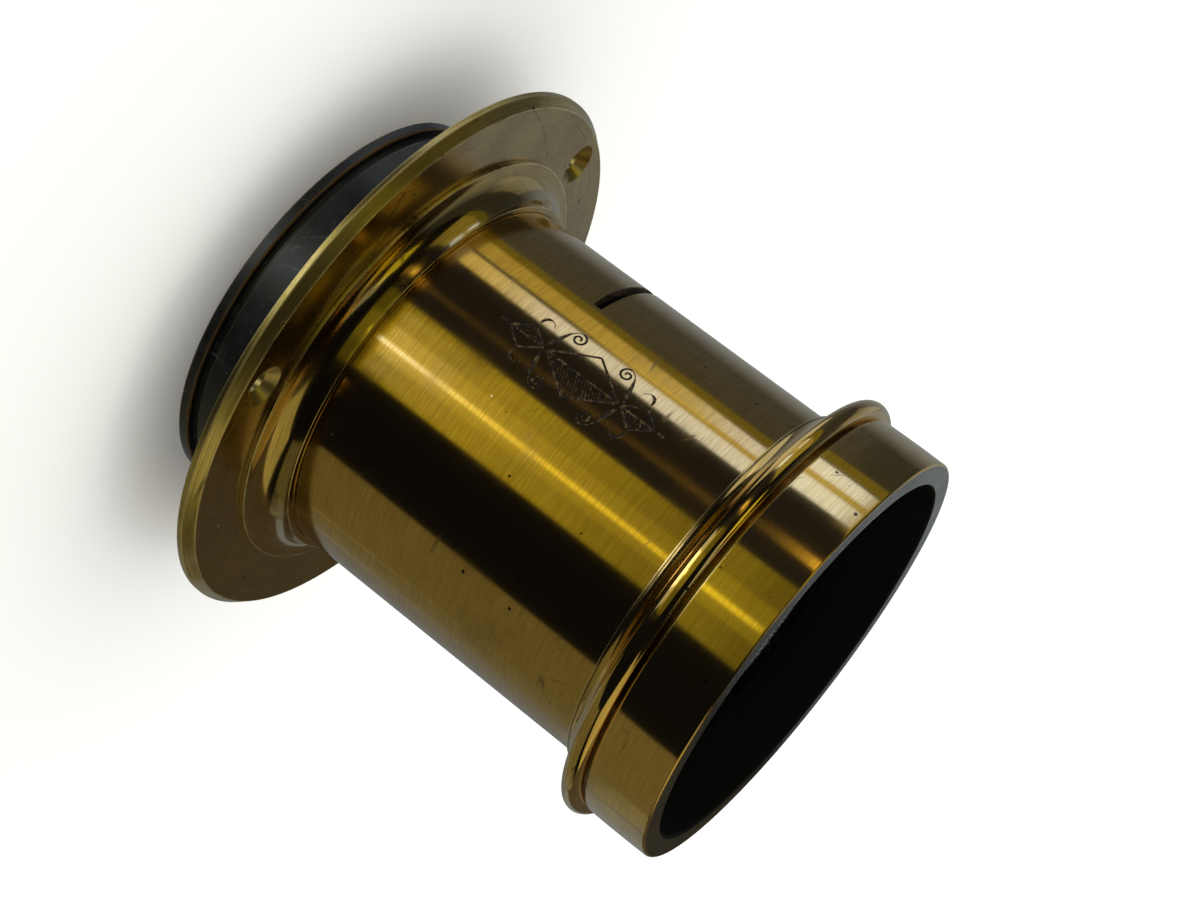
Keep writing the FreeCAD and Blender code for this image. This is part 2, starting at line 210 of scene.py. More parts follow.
def trace(corners):
    """Turns a closed half section into steps along its outline."""
    ends = [Vector((corner.radius, corner.height)) for corner in corners]
    runs = []
    for index, (end, corner) in enumerate(zip(ends, corners)):
        start = ends[index - 1]
        runs.append(arc_places(start, end, corner.bend, corner.turn) if corner.bend else straight_places(start, end))
    steps = []
    for index, (end, corner) in enumerate(zip(ends, corners)):
        places, following = runs[index], runs[(index + 1) % len(runs)]
        for j in range(1, len(places) - 1):
            direction = (places[j + 1] - places[j - 1]).normalized()
            steps.append(Step(places[j], direction, 0.0, corner.finish))
        next_finish = corners[(index + 1) % len(corners)].finish
        if end.x < ON_AXIS:
            steps.append(Step(end, Vector((1, 0)), 0.0, corner.finish))
            continue
        mark = corner_mark(end - places[-2], following[1] - end)
        for n, (place, direction) in enumerate(soften(places[-2], end, following[1], corner.soft)):
            steps.append(Step(place, direction, mark, next_finish if n else corner.finish))
    return steps


def threaded(steps, thread):
    """Adds rows for a thread between two heights on a straight run; thread is (low, high)."""
    low, high = thread
    rows = round((high - low) / thread_pitch * rows_per_turn)
    out = []
    for index, step in enumerate(steps):
        a, b = steps[index - 1].place, step.place
        if abs(a.x - b.x) < SAME_PLACE and a.y <= low + ROUNDING and b.y >= high - ROUNDING:
            for n in range(rows + 1):
                height = low + (high - low) * n / rows
                out.append(Step(Vector((a.x, height)), step.direction, 0.0, step.finish))
        out.append(step)
    return out


def thread_cut(height, angle, thread):
    """How deep a thread is at a height and an angle, with a run-out at both ends."""
    low, high = thread
    if not low < height < high:
        return 0.0
    phase = ((height - angle / (2 * pi) * thread_pitch) / thread_pitch) % 1.0
    wave = abs(2 * phase - 1)
    flank = wave * 1.3 - 0.15  # goes past 0 and 1, which leaves the crest and the root flat
    fade = min(1.0, (height - low) / thread_pitch, (high - height) / thread_pitch)
    return thread_depth * min(1.0, max(0.0, flank)) * fade


def turned(name, corners, finishes, thread=None):
    """A piece turned about the axis, with true normals, a map round it and its corners marked."""
    steps = trace(corners)
    if thread:
        steps = threaded(steps, thread)
        thread_radius = max(s.place.x for s in steps if thread[0] < s.place.y < thread[1])
    along, length = [], 0.0
    for index, step in enumerate(steps):
        if index:
            length += (step.place - steps[index - 1].place).length
        along.append(length)
    length += (steps[0].place - steps[-1].place).length
    points, normals, marks, rings = [], [], [], []
    for place, direction, mark, _ in steps:
        if place.x < ON_AXIS:
            rings.append([len(points)] * around)
            points.append((0, 0, place.y))
            normals.append((0, 0, 1 if direction.x * direction.y >= 0 else -1))
            marks.append(0.0)
            continue
        ring = []
        out = Vector((direction.y, -direction.x))
        for k in range(around):
            angle = 2 * pi * k / around
            radius = place.x
            if thread and abs(place.x - thread_radius) < SAME_PLACE:
                radius -= thread_cut(place.y, angle, thread)
            ring.append(len(points))
            points.append((radius * cos(angle), radius * sin(angle), place.y))
            normals.append((out.x * cos(angle), out.x * sin(angle), out.y))
            marks.append(mark)
        rings.append(ring)
    faces, slots, maps = [], [], []
    for index, upper in enumerate(rings):
        lower, v_low = rings[index - 1], along[index - 1]
        v_high = along[index] if index else length
        for k in range(around):
            n = (k + 1) % around
            loops = {}
            for vertex, u, v in ((lower[k], k, v_low), (lower[n], k + 1, v_low),
                                 (upper[n], k + 1, v_high), (upper[k], k, v_high)):
                loops.setdefault(vertex, (u / around, v))
            if len(loops) > 2:
                faces.append(list(loops))
                slots.append(steps[index].finish)
                maps.append(loops.values())
    mesh = bpy.data.meshes.new(name)
    mesh.from_pydata(points, [], faces)
    for finish in finishes:
        mesh.materials.append(finish)
    layer = mesh.uv_layers.new(name="turning")
    for label, sign in (("edge", 1), ("crease", -1)):
        mesh.attributes.new(label, "FLOAT", "POINT").data.foreach_set("value", [max(sign * m, 0.0) for m in marks])
    for face, slot, uvs in zip(mesh.polygons, slots, maps):
        face.material_index = slot
        face.use_smooth = True
        for loop, uv in zip(face.loop_indices, uvs):
            layer.data[loop].uv = uv
    mesh.update()
    if thread is None:
        mesh.normals_split_custom_set_from_vertices(normals)
    return placed(name, mesh), steps


def put_right(piece, steps, cut_from):
    """After cutting, gives the turned faces their true normals again; faces of the cuts stay flat."""
    mesh = piece.data
    runs = [(steps[index - 1], step) for index, step in enumerate(steps)]
    normals, cache = [], {}
    for face in mesh.polygons:
        flat = face.material_index >= cut_from
        for vertex in face.vertices:
            if flat:
                normals.append(face.normal.copy())
                continue
            if vertex not in cache:
                co = mesh.vertices[vertex].co
                here = Vector((hypot(co.x, co.y), co.z))
                best, found = inf, None
                for before, after in runs:
                    reach, span = here - before.place, after.place - before.place
                    share = 0.0
                    if span.length:
                        share = max(0.0, min(1.0, reach.dot(span) / span.length_squared))
                    gap = (reach - span * share).length
                    if gap < best:
                        best = gap
                        found = (before.direction * (1 - share) + after.direction * share).normalized()
                turn = atan2(co.y, co.x)
                cache[vertex] = Vector((found.y * cos(turn), found.y * sin(turn), -found.x))
            normals.append(cache[vertex])
    mesh.normals_split_custom_set(normals)


def cut(piece, steps, cutters, cut_finish):
    """Cuts closed shapes out of a turned piece and keeps its smooth surfaces true."""
    cut_from = len(piece.data.materials)
    piece.data.materials.append(cut_finish)
    for number, cutter in enumerate(cutters):
        cutter.data.materials.append(cut_finish)
        modifier = piece.modifiers.new(f"cut_{number}", "BOOLEAN")
        modifier.operation = "DIFFERENCE"
        modifier.solver = "EXACT"
        modifier.use_self = cutter["crosses_itself"]
        modifier.material_mode = "TRANSFER"
        modifier.object = cutter
    bpy.context.view_layer.update()
    graph = bpy.context.evaluated_depsgraph_get()
    made = bpy.data.meshes.new_from_object(piece.evaluated_get(graph))
    piece.modifiers.clear()
    piece.data = made
    for cutter in cutters:
        bpy.data.objects.remove(cutter)
    put_right(piece, steps, cut_from)


def closed_shape(name, *tubes):
    """A cutter of closed tubes, each through rings of points and capped at both ends."""
    shape = bmesh.new()
    for rings in tubes:
        rows = [[shape.verts.new(p) for p in ring] for ring in rings]
        sides = len(rows[0])
        for a, b in zip(rows, rows[1:]):
            for k in range(sides):
                shape.faces.new((a[k], a[(k + 1) % sides], b[(k + 1) % sides], b[k]))
        shape.faces.new(list(reversed(rows[0])))
        shape.faces.new(rows[-1])
    bmesh.ops.recalc_face_normals(shape, faces=shape.faces)
    mesh = bpy.data.meshes.new(name)
    shape.to_mesh(mesh)
    shape.free()
    piece = placed(name, mesh)
    piece["crosses_itself"] = len(tubes) > 1
    piece.hide_render = True
    return piece


def on_circle(radius, degrees, height):
    angle = radians(degrees)
    return Vector((radius * cos(angle), radius * sin(angle), height))


# material helpers
def feed(socket, value):
    """Links a socket, or sets a number, a colour or a place."""
    if isinstance(value, bpy.types.NodeSocket):
        socket.id_data.links.new(value, socket)
    else:
        socket.default_value = value


def add(tree, kind, values=None, **settings):
    """Adds a node; values are sockets to link or numbers to set, by input name or number."""
    node = tree.nodes.new(kind)
    for key, value in settings.items():
        setattr(node, key, value)
    for key, value in (values or {}).items():
        feed(node.inputs[key], value)
    return node


def reckoned(kind, operation, values, **settings):
    """The result of a node, put in the tree of the first socket among its values."""
    tree = next(v for v in values if isinstance(v, bpy.types.NodeSocket)).id_data
    return add(tree, kind, dict(enumerate(values)), operation=operation, **settings).outputs[0]


def maths(operation, *values, clamp=False):
    return reckoned("ShaderNodeMath", operation, values, use_clamp=clamp)


def vectors(operation, *values):
    return reckoned("ShaderNodeVectorMath", operation, values)


def times(first, second):
    return maths("MULTIPLY", first, second)


def plus(first, second, clamp=False):
    return maths("ADD", first, second, clamp=clamp)


def minus(first, second):
    return maths("SUBTRACT", first, second)


def larger(first, second):
    return maths("MAXIMUM", first, second)


def between(value, low, high):
    """0 below low, 1 above high, smooth between."""
    return add(value.id_data, "ShaderNodeMapRange", {"Value": value, "From Min": low, "From Max": high},
               interpolation_type="SMOOTHSTEP").outputs["Result"]


def own_place(tree):
    """Where a point lies on the piece itself."""
    return add(tree, "ShaderNodeTexCoord").outputs["Object"]


def noise(place, scale, detail, roughness=0.5, distortion=0.0):
    return add(place.id_data, "ShaderNodeTexNoise", {"Vector": place, "Scale": scale, "Detail": detail,
                                                     "Roughness": roughness, "Distortion": distortion}).outputs[0]


def blended(share, first, second):
    node = add(share.id_data, "ShaderNodeMix", data_type="RGBA")
    for number, value in ((0, share), (6, first), (7, second)):
        feed(node.inputs[number], (*value, 1.0) if isinstance(value, tuple) else value)
    return node.outputs[2]


def tinted(tone, mask, amount, colour):
    """The tone, with some of another colour where the mask is."""
    return blended(times(mask, amount), tone, colour)


def raised(value, mask, amount, clamp=False):
    """The value, raised by the amount where the mask is."""
    return plus(value, times(mask, amount), clamp)


def new_group(name, inputs, *outputs):
    """A node group with named numbers going in, each with its default, and named masks coming out."""
    tree = bpy.data.node_groups.new(name, "ShaderNodeTree")
    for label, default in inputs.items():
        tree.interface.new_socket(name=label, in_out="INPUT", socket_type="NodeSocketFloat").default_value = default
    for label in outputs:
        tree.interface.new_socket(name=label, in_out="OUTPUT", socket_type="NodeSocketFloat")
    return tree, tree.nodes.new("NodeGroupInput").outputs, tree.nodes.new("NodeGroupOutput").inputs


def use(tree, group, **values):
    node = add(tree, "ShaderNodeGroup", node_tree=group)
    for key, value in values.items():
        feed(node.inputs[key.replace("_", " ").capitalize()], value)
    return node.outputs


# effects shared by materials
def make_turning_lines():
    """Fine marks that run round a turned surface, from the tool and the polishing cloth."""
    tree, start, end = new_group("turning_lines", {"Per metre": 3000, "Drift": 5}, "Lines", "Bands")
    flat = vectors("MULTIPLY", own_place(tree), (1, 1, 0))
    facing = vectors("NORMALIZE", flat)
    wander = add(tree, "ShaderNodeVectorMath", {0: facing, 3: start["Drift"]}, operation="SCALE").outputs[0]
    split = add(tree, "ShaderNodeSeparateXYZ", {0: wander}).outputs
    sheet = add(tree, "ShaderNodeUVMap", uv_map="turning").outputs[0]
    along = add(tree, "ShaderNodeSeparateXYZ", {0: sheet}).outputs[1]
    fine = start["Per metre"]
    broad = times(fine, 0.12)
    for name, per_metre, roughness in (("Lines", fine, 0.7), ("Bands", broad, 0.6)):
        place = add(tree, "ShaderNodeCombineXYZ", {0: split[0], 1: split[1], 2: times(along, per_metre)})
        feed(end[name], noise(place.outputs[0], 1, 2, roughness))
    return tree


def make_tarnish():
    """Cloudy patches where the lacquer has browned."""
    tree, start, end = new_group("tarnish", {"Per metre": 90, "Amount": 0.5, "Softness": 0.15}, "Mask")
    cloud = noise(own_place(tree), start["Per metre"], 4, 0.62, distortion=0.4)
    level = minus(0.78, times(start["Amount"], 0.5))
    feed(end["Mask"], between(cloud, minus(level, start["Softness"]), plus(level, start["Softness"])))
    return tree


def make_pits():
    """Small round pits and specks of dirt, here and there."""
    tree, start, end = new_group("pits", {"Per metre": 700, "Size": 0.2, "Amount": 0.3}, "Mask")
    cells = add(tree, "ShaderNodeTexVoronoi", {"Vector": own_place(tree), "Scale": start["Per metre"]})
    chance = add(tree, "ShaderNodeSeparateXYZ", {0: cells.outputs["Color"]}).outputs
    radius = times(start["Size"], chance[1])
    dot = minus(1, between(cells.outputs["Distance"], times(radius, 0.6), radius))
    kept = maths("LESS_THAN", chance[0], start["Amount"])
    feed(end["Mask"], times(dot, kept))
    return tree


def make_scratches():
    """Thin straight scratches in one main direction over the unrolled surface."""
    tree, start, end = new_group(
        "scratches", {"Per metre": 160, "Stretch": 9, "Direction": 0, "Width": 0.02, "Amount": 0.4}, "Mask")
    sheet = add(tree, "ShaderNodeUVMap", uv_map="turning").outputs[0]
    unrolled = vectors("MULTIPLY", sheet, (2 * pi * tube_radius, 1, 1))
    spun = add(tree, "ShaderNodeVectorRotate", {"Vector": unrolled, "Angle": start["Direction"]},
               rotation_type="Z_AXIS").outputs[0]
    squeeze = add(tree, "ShaderNodeCombineXYZ", {0: maths("DIVIDE", 1, start["Stretch"]), 1: 1, 2: 1})
    drawn = vectors("MULTIPLY", spun, squeeze.outputs[0])
    web = add(tree, "ShaderNodeTexVoronoi", {"Vector": drawn, "Scale": start["Per metre"]},
              feature="DISTANCE_TO_EDGE").outputs["Distance"]
    line = minus(1, between(web, 0, start["Width"]))
    patch = noise(spun, times(start["Per metre"], 0.9), 2)
    kept = between(patch, minus(0.72, times(start["Amount"], 0.4)), 0.74)
    feed(end["Mask"], times(line, kept))
    return tree


def make_corner_mask(name, attribute, amount, breaks, detail, roughness, reach, strength, softness, low, high):
    """Marks that keep to the corners the outline names, broken up along their length."""
    tree, start, end = new_group(name, {"Amount": amount, "Per metre": breaks}, "Mask")
    corner = add(tree, "ShaderNodeAttribute", attribute_name=attribute).outputs["Fac"]
    broken = noise(own_place(tree), start["Per metre"], detail, roughness)
    level = minus(reach, start["Amount"])
    total = plus(corner, times(minus(broken, 0.5), strength))
    mask = between(total, level, plus(level, softness))
    feed(end["Mask"], times(mask, between(corner, low, high)))
    return tree


turning_lines = make_turning_lines()
tarnish = make_tarnish()
pits = make_pits()
scratches = make_scratches()
# edges rubbed bare, and every crease darkened by a thin dark line
edge_wear = make_corner_mask("edge_wear", "edge", 0.6, 260, 4, 0.7, 1.25, 1, 0.3, 0.3, 0.8)
crease_darkening = make_corner_mask("crease_darkening", "crease", 0.7, 300, 3, 0.5, 1, 0.7, 0.45, 0.02, 0.25)


def dress(shader, **values):
    """Sets or links the shader's own sockets."""
    for key, value in values.items():
        feed(shader.inputs[key.replace("_", " ")], value)


def new_material(name, **constants):
    """A material with one principled shader; constants are set on its own sockets."""
    material = bpy.data.materials.new(name)
    material.use_nodes = True
    tree = material.node_tree
    shader = next(n for n in tree.nodes if n.type == "BSDF_PRINCIPLED")
    dress(shader, **constants)
    return material, tree, shader


def bump(height, depth):
    return add(height.id_data, "ShaderNodeBump", {"Strength": 1, "Distance": depth, "Height": height}).outputs[0]


# materials
GOLD = (0.83, 0.54, 0.16)
GOLD_DEEP = (0.66, 0.4, 0.095)
BROWN = (0.34, 0.2, 0.06)
BARE = (0.95, 0.76, 0.36)
DIRT_AND_CREASE_DARK = (0.03, 0.02, 0.012)


def brass(name, gold, deep, browned, roughness, lines_depth, wear, crease_darkness, scratched, pitted, stretch_of_shine):
    """Lacquered brass with turning marks, browned patches, scratches, pits, bare edges and darkened creases."""
    material, tree, shader = new_material(
        name, Metallic=1, Anisotropic=stretch_of_shine, Anisotropic_Rotation=0.25,
        Coat_Weight=0.6, Coat_Roughness=0.07, Coat_IOR=1.5)
    marks = use(tree, turning_lines, Per_metre=3000, Drift=5)
    brown = use(tree, tarnish, Per_metre=70, Amount=browned, Softness=0.2)["Mask"]
    cross = use(tree, scratches, Per_metre=150, Stretch=6, Direction=0.7, Width=0.016, Amount=scratched)["Mask"]
    long = use(tree, scratches, Per_metre=110, Stretch=12, Direction=0.06, Width=0.012, Amount=scratched)["Mask"]
    scored = larger(cross, long)
    spots = use(tree, pits, Per_metre=420, Size=0.2, Amount=pitted)["Mask"]
    nicks = use(tree, pits, Per_metre=210, Size=0.1, Amount=0.06)["Mask"]
    bare = use(tree, edge_wear, Amount=wear, Per_metre=240)["Mask"]
    # a thin darkening along every crease
    darkened_creases = use(tree, crease_darkening, Amount=crease_darkness, Per_metre=300)["Mask"]
    rubbed = larger(bare, nicks)
    tone = blended(between(marks["Lines"], 0.28, 0.72), gold, deep)
    tone = tinted(tone, between(marks["Bands"], 0.4, 0.8), 0.35, deep)
    tone = tinted(tone, brown, 0.7, BROWN)
    tone = tinted(tone, scored, 0.65, DIRT_AND_CREASE_DARK)
    tone = blended(rubbed, tone, BARE)
    # pits take the dark tone, and the creases are darkened with it
    tone = blended(larger(spots, times(darkened_creases, 0.8)), tone, DIRT_AND_CREASE_DARK)
    rough = raised(roughness, minus(marks["Lines"], 0.5), 0.07)
    rough = raised(rough, brown, 0.1)
    rough = raised(rough, larger(scored, darkened_creases), 0.2)
    rough = raised(rough, rubbed, 0.18, clamp=True)
    height = minus(minus(marks["Lines"], times(scored, 0.6)), times(larger(spots, nicks), 3))
    tangent = add(tree, "ShaderNodeTangent", direction_type="RADIAL", axis="Z").outputs[0]
    dress(shader, Base_Color=tone, Roughness=rough, Normal=bump(height, lines_depth), Tangent=tangent)
    return material


# name, tones of the high and the low lines, browned, roughness, depth of the lines, wear, darkening of the creases,
# scratched, pitted, stretch of the shine
barrel_brass = brass("barrel_brass", GOLD, GOLD_DEEP, 0.2, 0.118, 3e-6, 0.5, 0.55, 0.34, 0.1, 0.55)
hood_brass = brass("hood_brass", (0.94, 0.63, 0.19), (0.77, 0.48, 0.12),
                   0.2, 0.105, 2.2e-6, 0.66, 0.4, 0.3, 0.12, 0.4)
collar_brass = brass("collar_brass", (0.6, 0.42, 0.11), (0.44, 0.29, 0.075),
                     0.3, 0.13, 3e-6, 0.5, 0.7, 0.4, 0.2, 0.4)
flange_brass = brass("flange_brass", (0.6, 0.44, 0.125), (0.42, 0.29, 0.08),
                     0.6, 0.2, 4.5e-6, 0.5, 0.75, 0.8, 0.75, 0.3)
bared_brass = brass("bared_brass", (0.95, 0.74, 0.25), (0.6, 0.43, 0.12),
                    0.35, 0.32, 1.3e-5, 0.85, 0.3, 0.7, 0.8, 0.2)
countersink_brass = brass("countersink_brass", (0.9, 0.72, 0.3), (0.55, 0.4, 0.14),
                          0.3, 0.38, 1.6e-5, 0.7, 0.3, 0.6, 0.7, 0.1)


def black_lacquer_material():
    """Satin black lacquer over brass: greyed where it rubs, brown and bare at the edges."""
    material, tree, shader = new_material("black_lacquer", Metallic=0, Coat_Weight=0.35, Coat_Roughness=0.22)
    marks = use(tree, turning_lines, Per_metre=2500, Drift=3)
    rubbed = use(tree, tarnish, Per_metre=130, Amount=0.4, Softness=0.1)["Mask"]
    dust = use(tree, pits, Per_metre=1500, Size=0.28, Amount=0.3)["Mask"]
    scored = use(tree, scratches, Per_metre=260, Stretch=9, Direction=1.2, Width=0.014, Amount=0.6)["Mask"]
    bare = use(tree, edge_wear, Amount=0.5, Per_metre=200)["Mask"]
    tone = tinted((0.004, 0.0044, 0.0052), rubbed, 0.7, (0.01, 0.0115, 0.0135))
    tone = tinted(tone, scored, 0.45, (0.16, 0.165, 0.17))
    tone = tinted(tone, dust, 0.17, (0.3, 0.31, 0.32))
    tone = tinted(tone, bare, 0.8, (0.2, 0.12, 0.045))
    rough = raised(0.38, rubbed, 0.15)
    rough = raised(rough, marks["Bands"], 0.1, clamp=True)
    height = minus(times(marks["Lines"], 0.6), scored)
    dress(shader, Base_Color=tone, Roughness=rough, Metallic=times(bare, 0.8), Normal=bump(height, 4e-6))
    return material


def blackened_material(name, tone_dark, tone_light, roughness, bare_amount):
    """Brass blackened by acid: a dark metal skin that rubs through to brass at the edges."""
    material, tree, shader = new_material(name, Metallic=1, Coat_Weight=0)
    marks = use(tree, turning_lines, Per_metre=2500, Drift=3)
    cloud = use(tree, tarnish, Per_metre=120, Amount=0.5, Softness=0.25)["Mask"]
    scored = use(tree, scratches, Per_metre=240, Stretch=8, Direction=0.2, Width=0.02, Amount=0.5)["Mask"]
    bare = use(tree, edge_wear, Amount=bare_amount, Per_metre=220)["Mask"]
    tone = blended(cloud, tone_dark, tone_light)
    tone = tinted(tone, scored, 0.3, (0.3, 0.24, 0.15))
    tone = blended(bare, tone, (0.3, 0.2, 0.09))
    rough = raised(roughness, marks["Bands"], 0.15, clamp=True)
    height = minus(marks["Lines"], scored)
    dress(shader, Base_Color=tone, Roughness=rough, Normal=bump(height, 4e-6))
    return material


def matt_black_material():
    """Dead black paint inside the barrel and the cells, with a little dust."""
    material, tree, shader = new_material("matt_black", Metallic=0, Specular_IOR_Level=0.2)
    grain = noise(own_place(tree), 2500, 3)
    dust = use(tree, pits, Per_metre=900, Size=0.2, Amount=0.2)["Mask"]
    tone = blended(grain, (0.0012, 0.0012, 0.0014), (0.0035, 0.0034, 0.0034))
    tone = tinted(tone, dust, 0.2, (0.03, 0.03, 0.03))
    dress(shader, Base_Color=tone, Roughness=between(grain, -0.6, 0.9), Normal=bump(grain, 2e-5))
    return material


def engraved_material():
    """The floor of an engraved cut, filled with old wax and polish."""
    material, tree, shader = new_material("engraved_cut", Metallic=0.35)
    grain = noise(own_place(tree), 1600, 4)
    tone = blended(between(grain, 0.45, 0.7), (0.018, 0.013, 0.009), (0.17, 0.105, 0.038))
    dress(shader, Base_Color=tone, Roughness=between(grain, -0.4, 1.2), Normal=bump(grain, 2e-5))
    return material


def glass_material():
    """Polished crown and flint glass, faintly grey, with fine dust on it."""
    material, tree, shader = new_material("optical_glass", Transmission_Weight=1, IOR=1.53)
    dust = use(tree, pits, Per_metre=700, Size=0.1, Amount=0.15)["Mask"]
    dusty = times(dust, 0.5)
    dress(shader, Base_Color=blended(dusty, (0.95, 0.97, 0.96), (0.6, 0.6, 0.58)), Roughness=dusty)
    return material


black_lacquer = black_lacquer_material()
hood_black = blackened_material("hood_black", (0.06, 0.053, 0.045), (0.16, 0.146, 0.132), 0.19, 0.3)
ring_black = blackened_material("ring_black", (0.012, 0.011, 0.01), (0.03, 0.028, 0.026), 0.42, 0.25)
matt_black = matt_black_material()
engraved = engraved_material()
optical_glass = glass_material()


# flange
def screw_cutter(degrees):
    """A countersunk hole with a small burr chamfer at the face."""
    centre = on_circle(screw_circle, degrees, 0.0)
    burr = 0.12 * MM
    depth = countersink_radius - screw_hole_radius
    outline = [
        (screw_hole_radius + burr, flange_back - 0.5 * MM),
        (screw_hole_radius + burr, flange_back),
        (screw_hole_radius, flange_back + burr),
        (screw_hole_radius, flange_front - depth),
        (countersink_radius, flange_front),
        (countersink_radius + burr, flange_front + 0.04 * MM),
        (countersink_radius + burr, flange_front + 0.5 * MM),
    ]
    angles = [2 * pi * k / 72 for k in range(72)]
    return closed_shape("screw_cutter", [[centre + Vector((r * cos(a), r * sin(a), z)) for a in angles]
                                         for r, z in outline])


def make_flange():
    bore = collar_thread + running_clearance
    corners = [
        *alike(fine_edge, (bore, flange_back + flange_bore_chamfer), (bore + flange_bore_chamfer, flange_back)),
        Corner(flange_radius, flange_back, worn_edge),
        Corner(flange_radius, flange_back + flange_edge_land, broad_edge, finish=1),
        Corner(flange_radius - flange_bevel_inset, flange_front, worn_edge, finish=1),
        Corner(bore, flange_front, fine_edge),
    ]
    piece, steps = turned("flange_ring", corners, [flange_brass, bared_brass])
    cut(piece, steps, [screw_cutter(a) for a in screw_angles], countersink_brass)
    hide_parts("mounting_flange")
    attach(piece, "flange")


# shoulder collar
def make_collar():
    step_top = flange_front + shoulder_step
    cove_top = lip_top - lip_height
    relief = collar_thread - collar_relief_depth
    relief_rear = flange_front - collar_relief_width
    corners = [
        Corner(collar_counterbore, collar_rear, finish=1),
        Corner(collar_thread, collar_rear, soft=0.2 * MM),
        *alike(soft_edge, (collar_thread, relief_rear), (relief, relief_rear)),
        *alike(fine_edge, (relief, flange_front), (shoulder_radius, flange_front)),
        Corner(shoulder_radius, step_top, broad_edge),
        Corner(shoulder_radius - shoulder_quirk, step_top, fine_edge),
        Corner(collar_bore + lip_wall, cove_top, round_edge, bend=cove_bend, turn=-1),
        Corner(collar_bore + lip_wall, lip_top, round_edge),
        Corner(collar_bore, lip_top, broad_edge),
        *alike(soft_edge, (collar_bore, tube_rear), (collar_counterbore, tube_rear), finish=1),
    ]
    piece, _ = turned("shoulder_collar_turned", corners, [collar_brass, collar_brass],
                      thread=(collar_rear + mark_reach, relief_rear - mark_reach))
    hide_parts("shoulder_collar")
    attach(piece, "collar_and_guides")


# barrel with slot and ornament
ornament_angle = 190.5
ornament_height = 52.2 * MM
stroke_depth = 0.13 * MM
stroke_width = 0.36 * MM
hatch_spacing = 0.56  # millimetres, as all lengths in the ornament functions


def slot_cutter():
    """The slot for the stops, with a fine chamfer along its outer edges."""
    half = slot_width / 2
    flare = 0.1 * MM
    inside = tube_radius - tube_wall - 0.6 * MM
    outline = [
        (inside, -half),
        (tube_radius - flare, -half),
        (tube_radius + flare, -half - 2 * flare),
        (tube_radius + flare, half + 2 * flare),
        (tube_radius - flare, half),
        (inside, half),
    ]
    steps = round(slot_span)
    angles = [slot_middle - slot_span / 2 + slot_span * n / steps for n in range(steps + 1)]
    return closed_shape("slot_cutter", [[on_circle(r, a, slot_height + z) for r, z in outline] for a in angles])


def stroke(places, width=stroke_width, taper=False):
    """An engraved stroke through (round, along) places in metres, measured from the ornament's middle."""
    rings = []
    count = len(places)
    for n, (across, along) in enumerate(places):
        before, after = places[max(0, n - 1)], places[min(count - 1, n + 1)]
        direction = Vector((after[0] - before[0], after[1] - before[1])).normalized()
        side = Vector((-direction.y, direction.x))
        swell = 0.35 + 0.65 * sin(pi * min(1.0, n / (count - 1) * 1.25 + 0.12)) if taper else 1.0
        half = width / 2 * swell
        ring = []
        for offset, radius in ((-half * 1.25, 0.05 * MM), (half * 1.25, 0.05 * MM),
                               (half * 0.3, -stroke_depth * swell), (-half * 0.3, -stroke_depth * swell)):
            s = across + side.x * offset
            t = along + side.y * offset
            degrees = ornament_angle + to_degrees(s / tube_radius)
            ring.append(on_circle(tube_radius + radius, degrees, ornament_height + t))
        rings.append(ring)
    return rings


def curve_places(controls, count):
    """Places along a cubic Bezier curve."""
    a, b, c, d = (Vector(p) * MM for p in controls)
    return [a * (1 - t) ** 3 + b * 3 * t * (1 - t) ** 2 + c * 3 * t ** 2 * (1 - t) + d * t ** 3
            for t in (n / count for n in range(count + 1))]


def scroll_places(centre, start_radius, turns, start_angle, hand, count=34):
    """A spiral that winds in towards its eye."""
    out = []
    for n in range(count + 1):
        share = n / count
        radius = start_radius * (1 - 0.86 * share)
        angle = start_angle + hand * turns * 2 * pi * share
        out.append(((centre[0] + radius * cos(angle)) * MM, (centre[1] + radius * sin(angle)) * MM))
    return out


def line_places(start, end, count=4):
    """Places along a straight line."""
    return [[(a + (b - a) * (n / count)) * MM for a, b in zip(start, end)] for n in range(count + 1)]


def lozenge(middle, half_width, half_height, hatched_side):
    """A lozenge outline with a spine and one half hatched by slanting lines."""
    x, y = middle
    top, right = (x, y + half_height), (x + half_width, y)
    low, left = (x, y - half_height), (x - half_width, y)
    strokes = [stroke(line_places(a, b), stroke_width * 1.15)
               for a, b in ((top, right), (right, low), (low, left), (left, top))]
    strokes.append(stroke(line_places((x, y + half_height * 0.93), (x, y - half_height * 0.93), 6)))
    slant, margin, spine_gap, shortest, tries = 0.5, 0.25, 0.2, 0.5, 80
    for n in range(1, int(2 * half_height / hatch_spacing)):
        base = y - half_height + n * hatch_spacing
        reach = 0.0
        for step in range(1, tries):
            test = step * half_width / tries
            inside = abs(base + test * slant - y) / half_height + test / half_width
            if inside < 1 - margin / half_width:
                reach = test
        if reach > shortest:
            near = (x + hatched_side * spine_gap, base + spine_gap * slant)
            far = (x + hatched_side * reach, base + reach * slant)
            strokes.append(stroke(line_places(near, far, 3), stroke_width * 0.62))
    return strokes


